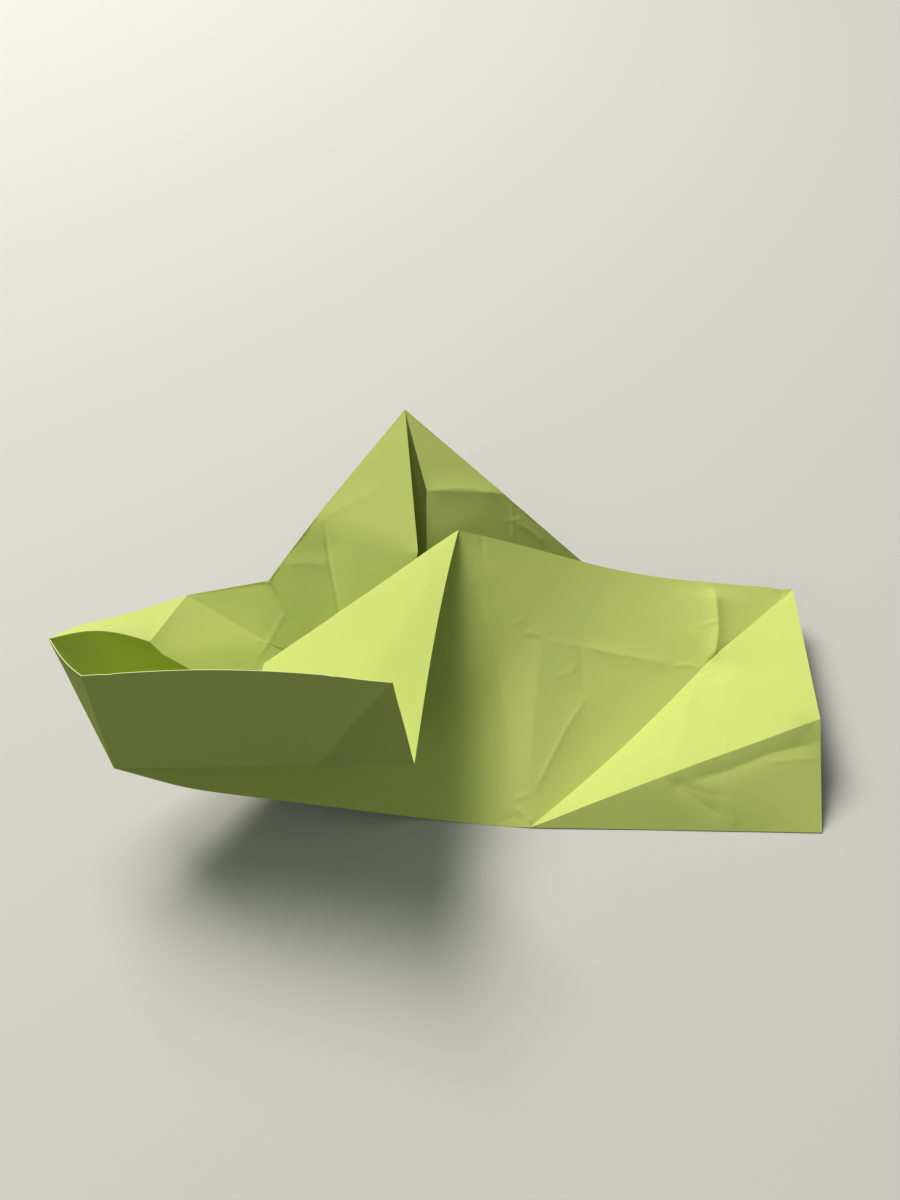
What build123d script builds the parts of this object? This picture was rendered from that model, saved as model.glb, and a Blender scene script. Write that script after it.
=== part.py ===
from build123d import *
import os

os.makedirs("parts", exist_ok=True)

# One sheet of paper: folded up into a boat shaped bowl at the left, left open as a creased panel at the right.
paper_thickness = 0.25
left_span = 103.0      # crumple of the near fold to the bowl's low left end
right_span = 75.5      # crumple to the panel's near right corner
bowl_depth = 111.0     # near fold to the tall peak
panel_depth = 73.0     # near edge to the panel's far right corner
bowl_height = 63.0     # table to the top of the front band
panel_rise = 23.0      # table to the highest place of the panel's far edge

longest_step_share = 5   # how far a fold's corner may stand out, in half thicknesses
settling_rounds = 200    # passes that settle each corner between its facets

# Corners of the bowl as shares of left_span, bowl_depth and bowl_height.
bowl_shares = {
    "near_touch": (-0.254, 0.025, 0),
    "near_sag": (-0.839, 0.004, 0.238),
    "left_low": (-1.000, 0.000, 0.381),
    "spike": (-0.278, -0.060, 0.571),
    "band_foot": (-0.506, -0.042, 0.508),
    "band_right": (-0.317, -0.042, 1.000),
    "band_left": (-1.013, 0.024, 0.873),
    "tip": (-1.132, 0.148, 0.827),
    "flap_tip": (-0.194, 0.619, 0.676),
    "rim_crease": (-0.864, 0.345, 0.713),
    "notch": (-0.683, 0.453, 0.619),
    "rim_bend": (-0.566, 0.630, 0.732),
    "peak": (-0.356, 1.004, 0.827),
    "pocket_top": (-0.905, 0.160, 0.794),
    "pocket_side": (-0.830, 0.124, 0.700),
    "pocket_end": (-0.743, 0.142, 0.608),
    "pocket_inner": (-0.682, 0.220, 0.536),
    "pocket_drop": (-0.683, 0.284, 0.483),
    "crease_cross": (-0.673, 0.307, 0.517),
    "flap_low": (-0.538, 0.319, 0.363),
    "flap_root": (-0.377, 0.252, 0.190),
    "seam_foot": (-0.302, 0.589, 0.589),
    "seam_kink": (-0.286, 0.799, 0.635),
    "seam_bend": (-0.282, 0.674, 0.508),
    "seam_low": (-0.281, 0.572, 0.381),
    "back_bend": (-0.065, 0.895, 0.473),
    "fold_foot": (0.213, 0.852, 0.048),
    "fold_end": (-0.080, 0.008, 0),
    "floor_corner": (-0.458, 0.376, 0),
    "floor_end": (0.150, 0.807, 0),
    "far_tip": (-0.120, 0.636, 0.630),
    "far_slope": (-0.049, 0.642, 0.571),
    "far_turn": (0.079, 0.661, 0.470),
}

# Corners of the panel as shares of right_span, panel_depth and panel_rise.
panel_shares = {
    "crumple": (0, 0, 0),
    "near_right": (1.000, 0.000, 0),
    "right_ridge": (1.019, 0.342, 0.670),
    "far_right": (1.078, 1.070, 0.513),
    "far_hem": (0.726, 1.049, 0.661),
    "far_middle": (0.566, 1.045, 0.735),
    "far_left": (0.287, 1.014, 0.996),
    "hem_cross": (0.674, 0.685, 0.317),
    "ridge_turn": (0.475, 0.149, 0.404),
    "crease_high": (0.046, 0.667, 0.939),
    "crease_middle": (0.215, 0.662, 0.665),
    "crease_low": (0.109, 0.323, 0.343),
}

# The flat pieces between the folds, by the names of their three corners.
panel_facets = [
    ("left_low", "near_sag", "flap_tip"),
    ("near_sag", "near_touch", "flap_tip"),
    ("near_touch", "crease_high", "flap_tip"),
    ("near_touch", "fold_end", "crease_high"),
    ("fold_end", "crumple", "crease_high"),
    ("flap_tip", "crease_high", "far_tip"),
    ("far_tip", "crease_high", "far_slope"),
    ("far_slope", "crease_high", "far_turn"),
    ("far_turn", "crease_high", "crease_middle"),
    ("far_turn", "crease_middle", "far_left"),
    ("far_left", "crease_middle", "hem_cross"),
    ("far_left", "hem_cross", "far_middle"),
    ("far_middle", "hem_cross", "far_hem"),
    ("far_hem", "hem_cross", "far_right"),
    ("crease_high", "crumple", "crease_low"),
    ("crease_high", "crease_low", "crease_middle"),
    ("crease_middle", "crease_low", "hem_cross"),
    ("crease_low", "crumple", "hem_cross"),
    ("crumple", "ridge_turn", "hem_cross"),
    ("hem_cross", "ridge_turn", "right_ridge"),
    ("hem_cross", "right_ridge", "far_right"),
    ("ridge_turn", "crumple", "near_right"),
    ("ridge_turn", "near_right", "right_ridge"),
]
front_flap_facets = [
    ("left_low", "band_foot", "flap_tip"),
    ("band_foot", "spike", "flap_tip"),
]
band_facets = [
    ("left_low", "band_foot", "band_left"),
    ("band_foot", "band_right", "band_left"),
    ("band_foot", "spike", "band_right"),
    ("tip", "band_left", "left_low"),
]
wall_facets = [
    ("tip", "left_low", "rim_crease"),
    ("rim_crease", "left_low", "notch"),
    ("left_low", "floor_corner", "notch"),
    ("left_low", "near_sag", "floor_corner"),
    ("near_sag", "near_touch", "floor_corner"),
    ("near_touch", "fold_end", "floor_corner"),
    ("fold_end", "floor_corner", "floor_end"),
    ("notch", "floor_corner", "rim_bend"),
    ("rim_bend", "floor_corner", "peak"),
    ("peak", "floor_corner", "back_bend"),
    ("back_bend", "floor_corner", "floor_end"),
    ("back_bend", "floor_end", "fold_foot"),
]
left_flap_facets = [
    ("tip", "pocket_top", "rim_crease"),
    ("rim_crease", "pocket_top", "pocket_side"),
    ("rim_crease", "pocket_side", "crease_cross"),
    ("pocket_side", "pocket_end", "crease_cross"),
    ("pocket_end", "pocket_inner", "crease_cross"),
    ("rim_crease", "crease_cross", "notch"),
    ("notch", "crease_cross", "flap_low"),
    ("pocket_inner", "pocket_drop", "crease_cross"),
    ("crease_cross", "pocket_drop", "flap_low"),
    ("notch", "flap_low", "rim_bend"),
    ("rim_bend", "flap_low", "seam_foot"),
    ("rim_bend", "seam_foot", "peak"),
    ("flap_low", "flap_root", "seam_foot"),
    ("flap_low", "pocket_drop", "flap_root"),
]
right_flap_facets = [
    ("peak", "seam_kink", "back_bend"),
    ("seam_kink", "seam_bend", "back_bend"),
    ("seam_bend", "seam_low", "back_bend"),
    ("seam_low", "fold_foot", "back_bend"),
]


def place_corners(shares, span, depth, height):
    """The middle of the sheet at each corner; the lowest lie half a thickness over the table."""
    lift = Vector(0, 0, paper_thickness / 2)
    return {name: Vector(x * span, y * depth, z * height) + lift for name, (x, y, z) in shares.items()}


def edges_of(facet):
    first, second, third = facet
    return [(first, second), (second, third), (third, first)]


def turn_alike(facets):
    """Lists each facet's corners the same way round, seen from one side of the sheet."""
    turned = [facets[0]]
    waiting = list(facets[1:])
    while waiting:
        facet = waiting.pop(0)
        used = {edge for other in turned for edge in edges_of(other)}
        if any(edge in used for edge in edges_of(facet)):
            turned.append(facet[::-1])
        elif any(edge[::-1] in used for edge in edges_of(facet)):
            turned.append(facet)
        else:
            waiting.append(facet)
    return turned


def facet_normal(facet):
    first, second, third = (corners[name] for name in facet)
    return (second - first).cross(third - first).normalized()


def outward_step(name):
    """From the middle of the sheet to its outer side, half a thickness or more from every facet at the corner."""
    normals = [facet_normal(facet) for facet in facets if name in facet]
    blend = normals[0]
    for _ in range(settling_rounds):
        farthest = min(normals, key=blend.dot)
        change = farthest - blend
        if change.length > 0:
            blend = blend + change * min(1, max(0, -blend.dot(change) / change.dot(change)))
    step = blend.normalized() * (paper_thickness / 2)
    return step * min(longest_step_share, 1 / blend.length)


def set_down(first, second):
    """Puts the lower of a resting corner's two points on the table."""
    if first.Z < second.Z:
        return Vector(first.X, first.Y, 0), second
    return first, Vector(second.X, second.Y, 0)


def flat_piece(first, second, third):
    return Face(Wire.make_polygon([first, second, third], close=True))


corners = place_corners(bowl_shares, left_span, bowl_depth, bowl_height)
corners.update(place_corners(panel_shares, right_span, panel_depth, panel_rise))
resting = [name for name, share in {**bowl_shares, **panel_shares}.items() if share[2] == 0]

facets = turn_alike(
    panel_facets + front_flap_facets + band_facets + wall_facets + left_flap_facets + right_flap_facets
)

outer = {}
inner = {}
for name, middle in corners.items():
    step = outward_step(name)
    outer[name] = middle + step
    inner[name] = middle - step
for name in resting:
    outer[name], inner[name] = set_down(outer[name], inner[name])

pieces = []
for a, b, c in facets:
    pieces.append(flat_piece(outer[a], outer[b], outer[c]))
    pieces.append(flat_piece(inner[c], inner[b], inner[a]))

# The cut edge of the sheet runs where a facet has no neighbour.
all_edges = {edge for facet in facets for edge in edges_of(facet)}
cut_edges = [edge for edge in sorted(all_edges) if edge[::-1] not in all_edges]
for a, b in cut_edges:
    pieces.append(flat_piece(outer[b], outer[a], inner[a]))
    pieces.append(flat_piece(outer[b], inner[a], inner[b]))

sheet = Solid(Shell(pieces))
bounds = sheet.bounding_box()
sheet = Pos(-bounds.center().X, -bounds.center().Y, -bounds.min.Z) * sheet

export_step(sheet, "parts/folded_sheet.step")
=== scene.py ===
import math

import bmesh
import bpy
import numpy as np
from mathutils import Matrix, Vector, noise


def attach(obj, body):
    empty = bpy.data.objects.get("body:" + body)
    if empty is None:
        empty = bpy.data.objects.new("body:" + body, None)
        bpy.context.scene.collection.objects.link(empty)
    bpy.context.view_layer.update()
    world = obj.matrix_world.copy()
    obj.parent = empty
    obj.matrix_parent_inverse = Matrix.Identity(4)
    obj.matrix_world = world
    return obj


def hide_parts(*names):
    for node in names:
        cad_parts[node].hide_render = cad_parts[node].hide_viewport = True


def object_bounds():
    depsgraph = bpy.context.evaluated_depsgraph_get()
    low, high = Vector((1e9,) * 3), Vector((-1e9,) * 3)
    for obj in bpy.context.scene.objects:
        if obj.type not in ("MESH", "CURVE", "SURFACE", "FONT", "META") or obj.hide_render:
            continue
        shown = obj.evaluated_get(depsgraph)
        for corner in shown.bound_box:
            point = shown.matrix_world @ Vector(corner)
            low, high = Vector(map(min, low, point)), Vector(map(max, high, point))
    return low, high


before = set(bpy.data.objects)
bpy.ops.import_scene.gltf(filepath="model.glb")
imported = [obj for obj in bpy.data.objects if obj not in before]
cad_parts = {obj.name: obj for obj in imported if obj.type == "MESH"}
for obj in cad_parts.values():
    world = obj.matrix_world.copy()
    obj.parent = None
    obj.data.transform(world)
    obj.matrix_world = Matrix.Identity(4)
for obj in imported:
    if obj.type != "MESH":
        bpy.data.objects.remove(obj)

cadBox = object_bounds()
mm = 0.001
crumple = Vector((0.01773, -0.0526, 0))  # the near fold's crumple, from which the creases are measured


def toLinear(hexColour):  # sRGB hex to the linear values that sockets take
    parts = [int(hexColour[i:i + 2], 16) / 255 for i in (1, 3, 5)]
    return tuple(p / 12.92 if p <= 0.04045 else ((p + 0.055) / 1.055) ** 2.4 for p in parts) + (1,)


def addNode(tree, kind, settings=None, links=None):  # one node, its settings and what feeds its inputs
    node = tree.nodes.new(kind)
    for name, value in (settings or {}).items():
        if name in node.inputs:
            node.inputs[name].default_value = value
        else:
            setattr(node, name, value)
    for name, socket in (links or {}).items():
        tree.links.new(socket, node.inputs[name])
    return node


def makeMaterial(name):  # a material, its node tree and its shader
    material = bpy.data.materials.new(name)
    material.use_nodes = True
    return material, material.node_tree, material.node_tree.nodes["Principled BSDF"]


def mixColours(tree, share, first, second):  # from one colour to the other as the share goes from 0 to 1
    mix = addNode(tree, "ShaderNodeMix", {"data_type": "RGBA"})
    mix.inputs[6].default_value = toLinear(first)
    mix.inputs[7].default_value = toLinear(second)
    tree.links.new(share, mix.inputs[0])
    return mix.outputs[2]


def addObject(name, data):  # an object at the origin, unturned and unscaled
    made = bpy.data.objects.new(name, data)
    bpy.context.scene.collection.objects.link(made)
    return made


# The folded sheet, from the CAD sheet's outer side.
sheetSizes = {
    "weldMm": 0.02,        # points closer than this are one
    "rimMm": 1.6,          # CAD facets with a shorter side are the cut edge
    "gridMm": 2.2,         # longest side of the small triangles
    "fineGridMm": 0.65,    # and close to a crease
    "fineReachMm": 2.0,
    "halvings": 12,        # most times that a side is halved
    "thicknessMm": 0.22,   # paper shown
    "crispDegrees": 25,    # flatter bends than this are soft
    "crispReachMm": 3,     # how close a fold's middle lies to a crisp place
    "cornerDegrees": 20,   # flatter turns of a fold or a cut edge are rounded
    "softRounds": 14,      # how far the soft bends spread
    "panelRounds": 130,    # and on the open panel, which bends more broadly
    "settling": 0.6,       # share of its way that a point goes in one round
    "creaseEnd": 0.15,     # share of a crease over which each end fades
    "creaseEndHeight": 0.25,
    "waveMm": 0.10,        # slow unevenness of handled paper
    "waveLengthMm": 21,
    "rippleMm": 0.016,     # the small unevenness on it
    "rippleLengthMm": 6.5,
}

# All places below are in mm from the near fold's crumple.
openPanel = {"left": -26, "back": 79, "top": 45}

# On flat folds that are crisp all the same.
crispPlaces = [(-63, 43, 31), (-79, 36, 39), (-18, 94, 35), (-42.5, -4.6, 47.5)]

# Corners the camera sees a little deeper or higher than the solid has them: a place and its push.
cornerShifts = [
    ((-28.6, -6.7, 36), (-0.2, 2.4, -3.2)),
    ((-70.3, 31.5, 30.4), (6, 2.3, -1.9)),
    ((-70.3, 24.4, 33.8), (-0.5, -1.3, -1.9)),
    ((-76.5, 15.7, 38.3), (-2, -0.4, -0.6)),
    ((-85.5, 13.8, 44.1), (-4.8, 2.3, 3.4)),
]

# Paths that a soft bend and the fine line along it share.
highPath = [(4, 47, 20.8), (3.1, 39, 17.5), (1.9, 30.6, 13.8), (0.3, 17, 7.8)]
lowPath = [(16, 35.3, 10.6), (10.4, 26.5, 8.7), (5, 16, 5.8), (1, 8, 3.7)]
peakPath = [(-55, 58.7, 38.4), (-52.2, 49, 31.4), (-49.4, 39.3, 24.4)]
bandPath = [(-52.2, -4.7, 32.6), (-42.5, -4.7, 49), (-33.7, -4.7, 62.4)]

# Creases: a path, how far it stands proud (or sinks), and its reach to each side.
creases = {
    "highLine": (highPath + [(-0.4, 6.6, 3.2)], 0.16, 4.5),
    "highThread": (highPath, 0.05, 1.2),
    "lowThread": (lowPath, 0.11, 1.5),
    "lowFan": (lowPath, 0.2, 6),
    "upperLeft": ([(-12, 64, 36), (-6, 58, 30.5), (-0.6, 51.3, 24.9)], 0.12, 6),
    "highMark": ([(-0.9, 48.1, 22.9), (1.3, 49, 22.8), (3.6, 48, 21.5)], 0.2, 1.3),
    "highMarkLow": ([(0, 46.8, 22), (3.6, 47.4, 21.2)], -0.16, 1.4),
    "highMarkSide": ([(-0.2, 52, 25.2), (1.8, 50, 23.2), (4, 48.1, 21.3)], 0.13, 1.3),
    "highMarkFar": ([(-4.5, 49.3, 24.8), (-2.4, 50.8, 25), (-0.2, 52, 25.2)], 0.09, 1.6),
    "hemStart": ([(5.5, 47.5, 20.4), (10, 48.4, 18.4), (15.7, 49.4, 16.3)], 0.08, 1.8),
    "hemLine": ([(15, 49.3, 16.5), (23.4, 49, 14), (32, 49.2, 11.9), (42, 49.2, 9.6)], 0.33, 6),
    "hemThread": ([(15, 49.3, 16.5), (23.4, 49, 14), (32, 49.2, 11.9)], 0.05, 1.3),
    "hemSide": ([(14.9, 48.4, 16.3), (15, 43, 13.9), (15.3, 38.2, 11.9), (16.3, 35.4, 10.6)], -0.12, 3),
    "middleMark": ([(7.7, 39, 15.4), (11.5, 40.9, 14.4), (14.4, 45, 14.9)], 0.1, 1.8),
    "crossLeft": ([(42, 48.8, 9.5), (47, 49.8, 8.4), (50.6, 48.8, 7.6)], 0.22, 1.8),
    "crossUp": ([(50.8, 50, 7.6), (54.3, 54.2, 8.4), (56, 61.8, 10.6), (56.3, 73.7, 14.3)], 0.5, 4),
    "crossFan": ([(52, 52, 8), (54.5, 55, 8.7), (56, 62, 10.6), (56.3, 75, 14.6)], 1.6, 17),
    "crossWedge": ([(51.5, 50.6, 7.6), (55, 54.4, 8), (59, 58, 8.8)], -0.22, 1.8),
    "crossTop": ([(50.7, 62, 11.4), (53.5, 63, 11.4), (56.3, 63.6, 11.2)], 0.16, 1.6),
    "crossRight": ([(53.7, 45.7, 8.6), (57.1, 41.8, 9.8), (65.8, 31.8, 12.7), (74.5, 23.2, 15.4)], 1.1, 11),
    "crossDown": ([(47.3, 42.4, 7.8), (43, 30, 8.5), (37.3, 14, 9.3)], 0.2, 5),
    "crossMark": ([(48.5, 44.5, 7.6), (50.8, 46.5, 7.7), (54.4, 47, 8.4)], 0.13, 1.5),
    "turnLow": ([(36.6, 9.4, 8.4), (43, 6, 5.4), (50, 2.8, 2.7)], -0.24, 5),
    "turnSide": ([(36.6, 9.6, 8.6), (43.7, 7.6, 6.7), (50.6, 6.6, 5.9)], -0.16, 3),
    "turnMark": ([(34.6, 12.3, 9.2), (36.6, 10, 8.9), (38, 8, 8)], 0.14, 1.2),
    "underRidge": ([(40, 9.2, 8.4), (51, 12, 9.4), (63, 16.6, 11.4), (76.3, 19.8, 12.6)], -0.42, 5),
    "underThread": ([(62, 14.6, 10.2), (69, 15.6, 10.3), (76, 16.2, 10.2)], 0.08, 1.5),
    "rightThread": ([(52.6, 22.5, 11.2), (51.8, 18.8, 11.6), (51.2, 10, 8)], 0.1, 1.3),
    "rightFoot": ([(50.6, 6.6, 5.9), (52.4, 3.6, 3.2), (53, 0.8, 0.7)], 0.15, 2.5),
    "footLeft": ([(-3.6, 4.7, 2.2), (-1.2, 2.8, 1.4), (0.4, 1, 0.5)], 0.28, 1.8),
    "footHigh": ([(-4, 6.7, 3), (-1.9, 7.3, 3.4), (0, 8, 3.8)], 0.16, 1.6),
    "footLow": ([(-8, 1.4, 0.6), (-4.4, 2.4, 1.2), (-1.2, 1.2, 0.5)], -0.14, 1.6),
    "besideTip": ([(-13.5, 68.5, 39.4), (-12.4, 65, 37.4)], -0.16, 1.8),
    "peakUpright": ([(-56.6, 65.8, 43.5)] + peakPath, -0.5, 9),
    "peakThread": ([(-57, 67.7, 44.8)] + peakPath, -0.2, 1.2),
    "peakLow": ([(-66.5, 55.5, 40.8), (-61, 57.6, 39.8), (-54.5, 58.5, 38.2)], 0.22, 6),
    "peakHigh": ([(-57.5, 69.3, 45.9), (-50.4, 75.3, 45.9), (-41, 84, 47)], 0.1, 4),
    "peakMiddle": ([(-52, 73, 44.8), (-44, 70.5, 41.3), (-36, 67, 38)], 0.08, 4),
    "rightFlap": ([(-28.8, 88.9, 39.9), (-20, 94.2, 36.5), (-7.5, 99.6, 30.7)], 0.45, 7),
    "rightFlapUpright": ([(-4.2, 99, 27.8), (-3.5, 94.4, 24.1), (-3.6, 89, 20.6)], 0.12, 1.3),
    "rightFlapNick": ([(-7, 93, 25), (-3.7, 94.3, 24.2), (0, 97, 23)], 0.1, 1.5),
    "rightRim": ([(-3.4, 94.5, 24), (2.3, 94.6, 19.6), (7, 93.5, 15.6)], 0.3, 3.5),
    "notchFold": ([(-70, 50, 38.7), (-66.6, 46.6, 35), (-62.9, 42.9, 31), (-59, 39, 26.8)], -0.42, 1.3),
    "flapShade": ([(-16.5, 58.6, 34.9), (-8.8, 40.4, 20.2), (-5.4, 20.1, 8.8), (-5.7, 11.4, 5)], -0.45, 8),
    "notchLight": ([(-66, 44, 34), (-67.8, 38.4, 33.3), (-69.5, 33.6, 32.4)], 0.13, 1.6),
    "notchLow": ([(-69.3, 33.6, 32.3), (-70.6, 28.8, 34), (-71.2, 25.7, 34.6)], 0.11, 1.4),
    "bandCorner": (bandPath, 1.1, 12),
    "bandThread": (bandPath, 0.14, 1.2),
    "notchMark": ([(-72.1, 33.3, 34.7), (-69.3, 33.6, 32.3)], 0.14, 1.2),
}

# Edges that bow: a path, how far its middle is pushed, and how far in the push fades out.
bows = {
    "pocketMouth": ([(-116.6, 16.4, 52.1), (-93.2, 17.8, 50)], (0, 1.2, 2.2), 14),
    "bandTop": ([(-104.3, 2.7, 55), (-32.7, -4.6, 63)], (0, 1.4, 1.4), 26),
    "flapEdge": ([(-20, 68.7, 42.6), (-28.6, -6.7, 36)], (-1.3, 0, 0), 14),
    "pocketSide": ([(-116.6, 16.4, 52.1), (-104.3, 2.7, 55)], (-0.8, -0.3, -0.6), 9),
    "panelFold": ([(0, 0, 0), (50.9, 50, 7.3)], (0.8, -1, 0), 9),
}

# Small nicks in the cut edge: a place, the push of the paper there, and its reach.
nicks = [
    ((-98.2, 2.0, 55.6), (0, 0, -0.5), 1.6),
    ((-46.3, -4.0, 61.8), (0, 0, -0.45), 1.6),
    ((-27.7, 11.5, 37.6), (-0.7, 0.3, 0), 1.6),
    ((33, 76, 19), (0.2, -0.6, 0), 1.4),
    ((77.6, 76.4, 12), (0.5, -1.3, -1), 3.6),
]


def panelArea(layer):  # how much of a layer looks up at the right of the crumple
    return sum(f.normal.z * f.calc_area() for f in layer if f.calc_center_median().x > crumple.x)


def outerSide(node):  # the CAD sheet's outer side as one layer, without its thickness
    mesh = bmesh.new()
    mesh.from_mesh(node.data)
    bmesh.ops.remove_doubles(mesh, verts=mesh.verts, dist=sheetSizes["weldMm"] * mm)
    shortest = sheetSizes["rimMm"] * mm
    thin = [f for f in mesh.faces if min(e.calc_length() for e in f.edges) < shortest]
    bmesh.ops.delete(mesh, geom=thin, context="FACES")
    layers = []
    left = set(mesh.faces)
    while left:
        layer, grow = set(), [left.pop()]
        while grow:
            face = grow.pop()
            layer.add(face)
            for edge in face.edges:
                for other in edge.link_faces:
                    if other in left:
                        left.discard(other)
                        grow.append(other)
        layers.append(layer)
    layers.sort(key=panelArea, reverse=True)
    inner = [f for layer in layers[1:] for f in layer]
    bmesh.ops.delete(mesh, geom=inner, context="FACES")
    loose = [v for v in mesh.verts if not v.link_faces]
    bmesh.ops.delete(mesh, geom=loose, context="VERTS")
    print("outer side:", len(layers), "layers,", len(mesh.faces), "facets kept")
    return mesh


def toMm(points):
    return (np.array(points) - np.array(crumple)) / mm


def sidesOf(faces):  # the three sides of each triangle
    return np.vstack([faces[:, [0, 1]], faces[:, [1, 2]], faces[:, [2, 0]]])


def edgesOf(faces):  # every edge once, as a sorted pair of points, and whether just one face has it
    edges, count = np.unique(np.sort(sidesOf(faces), axis=1), axis=0, return_counts=True)
    return edges, count == 1


def cutFace(face, middles, points):  # a triangle with some edges halved, as smaller triangles
    a, b, c = face
    ab, bc, ca = (middles.get((min(pair), max(pair))) for pair in ((a, b), (b, c), (c, a)))
    halved = [m is not None for m in (ab, bc, ca)]
    if sum(halved) == 0:
        return [face]
    if sum(halved) == 3:
        return [(a, ab, ca), (ab, b, bc), (ca, bc, c), (ab, bc, ca)]
    if halved in ([False, True, False], [False, True, True]):
        return cutFace((b, c, a), middles, points)
    if halved in ([False, False, True], [True, False, True]):
        return cutFace((c, a, b), middles, points)
    if sum(halved) == 1:
        return [(a, ab, c), (ab, b, c)]
    if np.linalg.norm(points[a] - points[bc]) < np.linalg.norm(points[ab] - points[c]):
        return [(ab, b, bc), (a, ab, bc), (a, bc, c)]
    return [(ab, b, bc), (a, ab, c), (ab, bc, c)]


def refine(points, faces, folds, longest, paths=()):  # halves long edges, or just those near the paths
    for _ in range(sheetSizes["halvings"]):
        edges, _ = edgesOf(faces)
        ends = points[edges]
        chosen = np.linalg.norm(ends[:, 0] - ends[:, 1], axis=1) > longest
        halfway = ends.mean(axis=1)
        if paths:
            gap = np.min([toPath(halfway, path)[0] for path in paths], axis=0)
            chosen &= gap < sheetSizes["fineReachMm"]
        if not chosen.any():
            break
        middles = {tuple(pair): len(points) + i for i, pair in enumerate(edges[chosen].tolist())}
        points = np.vstack([points, halfway[chosen]])
        whole = {fold for fold in folds if fold not in middles}
        folds = whole | {(end, middles[fold]) for fold in folds - whole for end in fold}
        cut = [cutFace(tuple(face), middles, points) for face in faces.tolist()]
        faces = np.array([small for pieces in cut for small in pieces])
    return points, faces, folds


def toPath(points, path):  # distance of each point to the path, and how far along it lies, 0 to 1
    best = np.full(len(points), 1e9)
    along = np.zeros(len(points))
    lengths = [np.linalg.norm(np.subtract(b, a)) for a, b in zip(path, path[1:])]
    done = 0
    for a, b, length in zip(path, path[1:], lengths):
        a, b = np.array(a, float), np.array(b, float)
        share = np.clip(((points - a) @ (b - a)) / length ** 2, 0, 1)
        gap = np.linalg.norm(points - (a + share[:, None] * (b - a)), axis=1)
        closer = gap < best
        best[closer] = gap[closer]
        along[closer] = (done + share[closer] * length) / sum(lengths)
        done += length
    return best, along


def pointNormals(points, faces):
    total = np.zeros_like(points)
    a, b, c = (points[faces[:, i]] for i in range(3))
    normals = np.cross(b - a, c - a)
    for corner in range(3):
        np.add.at(total, faces[:, corner], normals)
    return total / np.linalg.norm(total, axis=1)[:, None]


def readSheet(mesh):  # points and facets, and the folds that are crisp
    mesh.verts.index_update()
    points = toMm([v.co for v in mesh.verts])
    faces = np.array([[v.index for v in f.verts] for f in mesh.faces])
    folds = set()
    crisp = math.radians(sheetSizes["crispDegrees"])
    for edge in mesh.edges:
        a, b = sorted(v.index for v in edge.verts)
        middle = (points[a] + points[b]) / 2
        named = min(np.linalg.norm(middle - place) for place in crispPlaces) < sheetSizes["crispReachMm"]
        if len(edge.link_faces) == 2 and (named or edge.calc_face_angle() > crisp):
            folds.add((a, b))
    for place, push in cornerShifts:
        nearest = np.argmin(np.linalg.norm(points - place, axis=1))
        points[nearest] += push
    return points, faces, folds


def soften(points, faces, folds):  # bends settle between their neighbours, folds along themselves
    edges, cut = edgesOf(faces)
    lines = np.vstack([edges[cut], np.array(sorted(folds))])
    ways = {}
    for a, b in lines.tolist():
        ways.setdefault(a, []).append(points[b] - points[a])
        ways.setdefault(b, []).append(points[a] - points[b])
    held = np.zeros(len(points), bool)
    corner = math.radians(sheetSizes["cornerDegrees"])
    for i, way in ways.items():
        held[i] = len(way) != 2 or Vector(way[0]).angle(-Vector(way[1])) > corner
    onLine = np.zeros(len(points), bool)
    onLine[lines.ravel()] = True
    pairs = np.vstack([edges, edges[:, ::-1]])
    pairs = np.vstack([pairs[~onLine[pairs[:, 0]]], lines, lines[:, ::-1]])
    count = np.bincount(pairs[:, 0], minlength=len(points))
    x, y, z = points.T
    panel = (x > openPanel["left"]) & (y < openPanel["back"]) & (z < openPanel["top"])
    for done in range(sheetSizes["panelRounds"]):
        still = held | (~panel & (done >= sheetSizes["softRounds"]))
        total = np.stack([np.bincount(pairs[:, 0], points[pairs[:, 1], k], len(points)) for k in range(3)], 1)
        settled = points + sheetSizes["settling"] * (total / count[:, None] - points)
        points = np.where(still[:, None], points, settled)
    return points


def fade(gap, reach):  # 1 at the path, falling softly to 0 at its reach
    return np.clip(1 - gap / reach, 0, 1) ** 2


def creaseLift(points):  # how far the creases and the paper's unevenness raise each point
    lift = np.zeros(len(points))
    endHeight = sheetSizes["creaseEndHeight"]
    for path, rise, reach in creases.values():
        gap, along = toPath(points, path)
        ends = np.clip(np.minimum(along, 1 - along) / sheetSizes["creaseEnd"], 0, 1)
        lift += rise * fade(gap, reach) * (endHeight + (1 - endHeight) * ends)
    for height, length in (("waveMm", "waveLengthMm"), ("rippleMm", "rippleLengthMm")):
        uneven = [noise.noise(Vector(p) / sheetSizes[length]) for p in points]
        lift += sheetSizes[height] * np.array(uneven)
    return lift


def edgePush(points):  # how far the bows and nicks move each point, one step for each of them
    for path, push, reach in bows.values():
        gap, along = toPath(points, path)
        yield (fade(gap, reach) * np.sin(np.pi * along))[:, None] * np.array(push)
    for place, push, reach in nicks:
        gap = np.linalg.norm(points - place, axis=1)
        yield fade(gap, reach)[:, None] * np.array(push)


def giveThickness(points, faces):  # both sides of the paper, in the CAD box, and its cut edge
    inner = points - pointNormals(points, faces) * sheetSizes["thicknessMm"]
    bothSides = np.vstack([points, inner]) * mm + np.array(crumple)
    count = len(points)
    edges, cut = edgesOf(faces)
    rims = {tuple(pair) for pair in edges[cut].tolist()}
    around = sidesOf(faces).tolist()
    cutEdge = [(b, a, a + count, b + count) for a, b in around if (min(a, b), max(a, b)) in rims]
    return np.clip(bothSides, np.array(cadBox[0]), np.array(cadBox[1])), cutEdge


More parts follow.
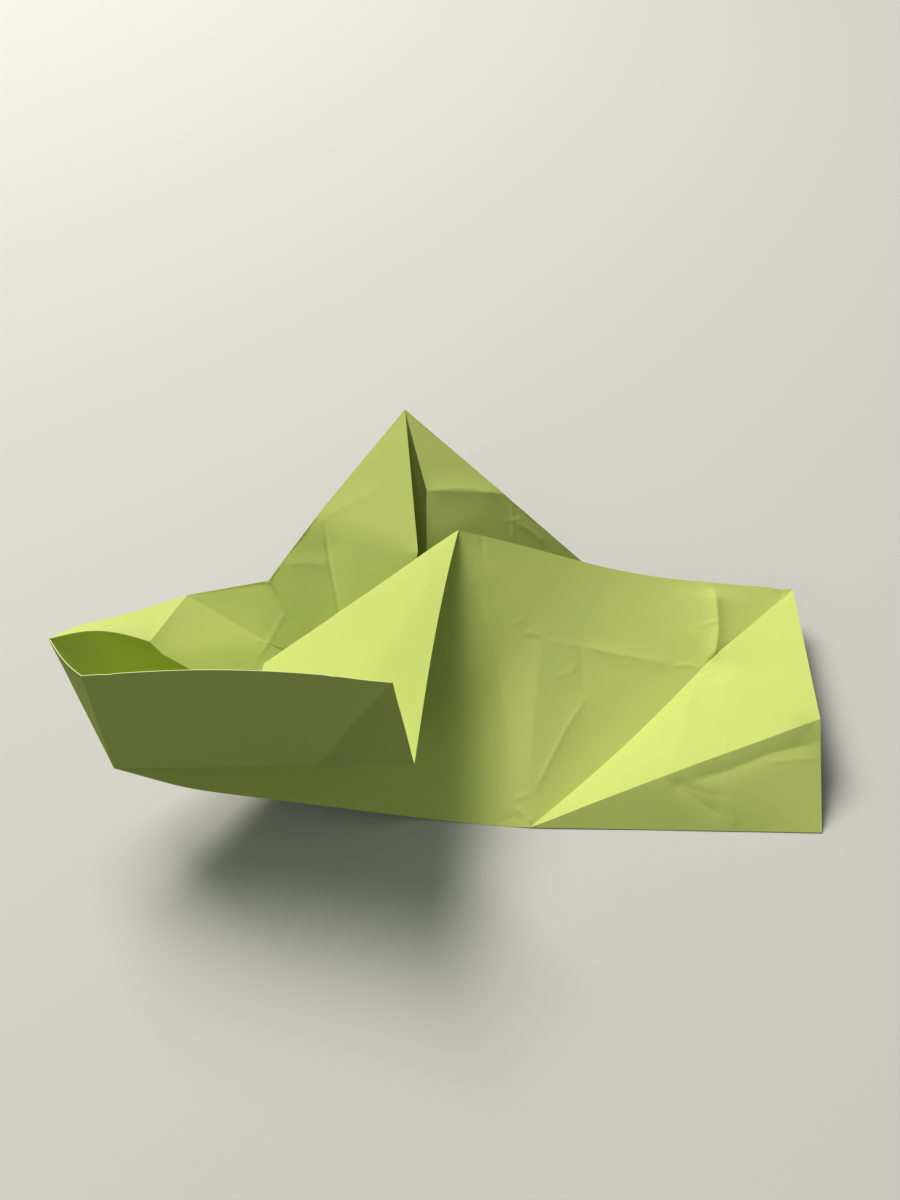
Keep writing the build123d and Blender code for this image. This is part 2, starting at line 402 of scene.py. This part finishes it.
def makeSheet(node):
    cadSide = outerSide(node)
    points, faces, folds = readSheet(cadSide)
    cadSide.free()
    points, faces, folds = refine(points, faces, folds, sheetSizes["gridMm"])
    points = soften(points, faces, folds)
    paths = [path for path, rise, reach in creases.values()]
    points, faces, folds = refine(points, faces, folds, sheetSizes["fineGridMm"], paths)
    print("sheet side:", len(points), "points,", len(faces), "triangles")

    moved = points + pointNormals(points, faces) * creaseLift(points)[:, None]
    for push in edgePush(points):
        moved += push
    print("creases:", len(creases), "bows:", len(bows), "nicks:", len(nicks))

    bothSides, cutEdge = giveThickness(moved, faces)
    count = len(points)
    allFaces = [tuple(f) for f in faces] + [tuple(f[::-1] + count) for f in faces] + cutEdge
    mesh = bpy.data.meshes.new("greenSheet")
    mesh.from_pydata([tuple(p) for p in bothSides], [], allFaces)
    mesh.materials.append(dyedPaper())
    mesh.materials.append(cutPaper())
    mesh.polygons.foreach_set("use_smooth", [True] * len(allFaces))
    mesh.polygons.foreach_set("material_index", [0] * (2 * len(faces)) + [1] * len(cutEdge))
    mesh.update()

    sharp = {frozenset(fold) for fold in folds} | {frozenset((a + count, b + count)) for a, b in folds}
    for a, b, c, d in cutEdge:
        sharp |= {frozenset((a, b)), frozenset((c, d))}
    marks = mesh.attributes.new("sharp_edge", "BOOLEAN", "EDGE")
    for i, edge in enumerate(mesh.edges):
        marks.data[i].value = frozenset(edge.vertices) in sharp
    print("sheet made:", len(mesh.polygons), "faces")
    return addObject("greenSheet", mesh)


# The paper.
paperLook = {
    "face": "#DDEA82",      # yellow green dyed through
    "faceDeep": "#D8E67B",  # where the dye took a little more
    "roughness": 0.82,
    "ior": 1.5,
    "gloss": 0.25,
    "cloudMm": 14,          # size of the uneven places in the dye
    "cloudDetail": 3.0,
    "fibreMm": 0.5,
    "fibreDetail": 4.0,
    "fibreRoughness": 0.6,
    "fibreStrength": 0.12,
    "fibreDepthMm": 0.05,
    "cutEdge": "#E6F0A8",
    "cutRoughness": 0.9,
    "cutGloss": 0.2,
}


def dyedPaper():  # uncoated dyed copy paper: dull, nearly no gloss, faint fibres
    material, tree, shader = makeMaterial("dyedCopyPaper")
    shader.inputs["Roughness"].default_value = paperLook["roughness"]
    shader.inputs["IOR"].default_value = paperLook["ior"]
    shader.inputs["Specular IOR Level"].default_value = paperLook["gloss"]
    place = addNode(tree, "ShaderNodeTexCoord").outputs["Object"]
    cloud = addNode(
        tree, "ShaderNodeTexNoise",
        {"Scale": 1 / (paperLook["cloudMm"] * mm), "Detail": paperLook["cloudDetail"]},
        {"Vector": place},
    )
    tone = mixColours(tree, cloud.outputs["Fac"], paperLook["face"], paperLook["faceDeep"])
    tree.links.new(tone, shader.inputs["Base Color"])
    fibre = addNode(
        tree, "ShaderNodeTexNoise",
        {
            "Scale": 1 / (paperLook["fibreMm"] * mm),
            "Detail": paperLook["fibreDetail"],
            "Roughness": paperLook["fibreRoughness"],
        },
        {"Vector": place},
    )
    bump = addNode(
        tree, "ShaderNodeBump",
        {"Strength": paperLook["fibreStrength"], "Distance": paperLook["fibreDepthMm"] * mm},
        {"Height": fibre.outputs["Fac"]},
    )
    tree.links.new(bump.outputs["Normal"], shader.inputs["Normal"])
    return material


def cutPaper():  # the sheet's cut edge, coloured paler than its faces
    material, tree, shader = makeMaterial("cutPaperEdge")
    shader.inputs["Base Color"].default_value = toLinear(paperLook["cutEdge"])
    shader.inputs["Roughness"].default_value = paperLook["cutRoughness"]
    shader.inputs["Specular IOR Level"].default_value = paperLook["cutGloss"]
    return material


sheet = makeSheet(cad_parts["folded_sheet"])
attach(sheet, "root")
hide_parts("folded_sheet")


# Floor, light and camera.
studio = {
    "floor": "#DDDBD6",
    "floorHalf": 1.3,          # metres from its middle to its sides
    "floorRoughness": 0.9,
    "floorBounce": "#454744",  # what it throws back on the paper
    "wall": "#C9C8C2",         # what the camera sees past the floor
    "sky": (0.88, 1, 0.86, 1),
    "skyStrength": 0.15,
    "lampSize": 1.0,
    "lampDistance": 2.0,
}
lamps = {
    "key": {"watts": 39.5, "comesFrom": (-0.373, 0.476, 0.796), "colour": (1, 0.98, 0.94)},
    "fill": {"watts": 2.6, "comesFrom": (-0.4, -0.75, 0.53), "colour": (0.94, 1, 0.9)},
}
phone = {
    "sensorMm": 24,
    "focalPixels": 1054.85,
    "picturePixels": 1200,
    "clipStart": 0.01,
    "place": (0.00201, -0.20533, 0.2364),
    "headingDegrees": 1.71,
    "tiltDegrees": 45,         # up from straight down
    "rollDegrees": -0.492,
}


def makeFloor():
    mesh = bpy.data.meshes.new("floor")
    half = studio["floorHalf"]
    corners = [(-half, -half, 0), (half, -half, 0), (half, half, 0), (-half, half, 0)]
    mesh.from_pydata(corners, [], [(0, 1, 2, 3)])
    floor = addObject("floor", mesh)
    material, tree, shader = makeMaterial("paleFloor")
    shader.inputs["Roughness"].default_value = studio["floorRoughness"]
    rays = addNode(tree, "ShaderNodeLightPath").outputs
    seen = addNode(tree, "ShaderNodeMath", {"operation": "MAXIMUM"})
    tree.links.new(rays["Is Camera Ray"], seen.inputs[0])
    tree.links.new(rays["Is Glossy Ray"], seen.inputs[1])
    tone = mixColours(tree, seen.outputs[0], studio["floorBounce"], studio["floor"])
    tree.links.new(tone, shader.inputs["Base Color"])
    mesh.materials.append(material)


def makeLamp(name, watts, comesFrom, colour):  # a large soft lamp that faces the object
    lamp = bpy.data.lights.new(name, "AREA")
    lamp.energy = watts
    lamp.size = studio["lampSize"]
    lamp.color = colour
    holder = addObject(name, lamp)
    way = Vector(comesFrom).normalized()
    holder.location = way * studio["lampDistance"]
    holder.rotation_euler = way.to_track_quat("Z", "Y").to_euler()


def makeRoom():  # an even sky for the light, and a plain wall for the camera
    world = bpy.data.worlds.new("softRoom")
    bpy.context.scene.world = world
    world.use_nodes = True
    tree = world.node_tree
    sky = tree.nodes["Background"]
    sky.inputs["Color"].default_value = studio["sky"]
    sky.inputs["Strength"].default_value = studio["skyStrength"]
    wall = addNode(tree, "ShaderNodeBackground", {"Color": toLinear(studio["wall"])})
    rays = addNode(tree, "ShaderNodeLightPath")
    both = addNode(tree, "ShaderNodeMixShader", {}, {"Fac": rays.outputs["Is Camera Ray"]})
    tree.links.new(sky.outputs["Background"], both.inputs[1])
    tree.links.new(wall.outputs["Background"], both.inputs[2])
    tree.links.new(both.outputs["Shader"], tree.nodes["World Output"].inputs["Surface"])


def makeCamera():  # a hand-held phone looking 45 degrees down
    lens = bpy.data.cameras.new("phone")
    lens.sensor_fit = "VERTICAL"
    lens.sensor_height = phone["sensorMm"]
    lens.lens = phone["sensorMm"] * phone["focalPixels"] / phone["picturePixels"]
    lens.clip_start = phone["clipStart"]
    camera = addObject("phone", lens)
    heading = Matrix.Rotation(math.radians(phone["headingDegrees"]), 4, "Z")
    tilt = Matrix.Rotation(math.radians(phone["tiltDegrees"]), 4, "X")
    roll = Matrix.Rotation(math.radians(phone["rollDegrees"]), 4, "Z")
    camera.matrix_world = Matrix.Translation(phone["place"]) @ heading @ tilt @ roll
    bpy.context.scene.camera = camera


makeFloor()
makeRoom()
for name, lamp in lamps.items():
    makeLamp(name, **lamp)
makeCamera()
bpy.context.scene.view_settings.view_transform = "Standard"
print("studio made:", len(lamps), "lamps")
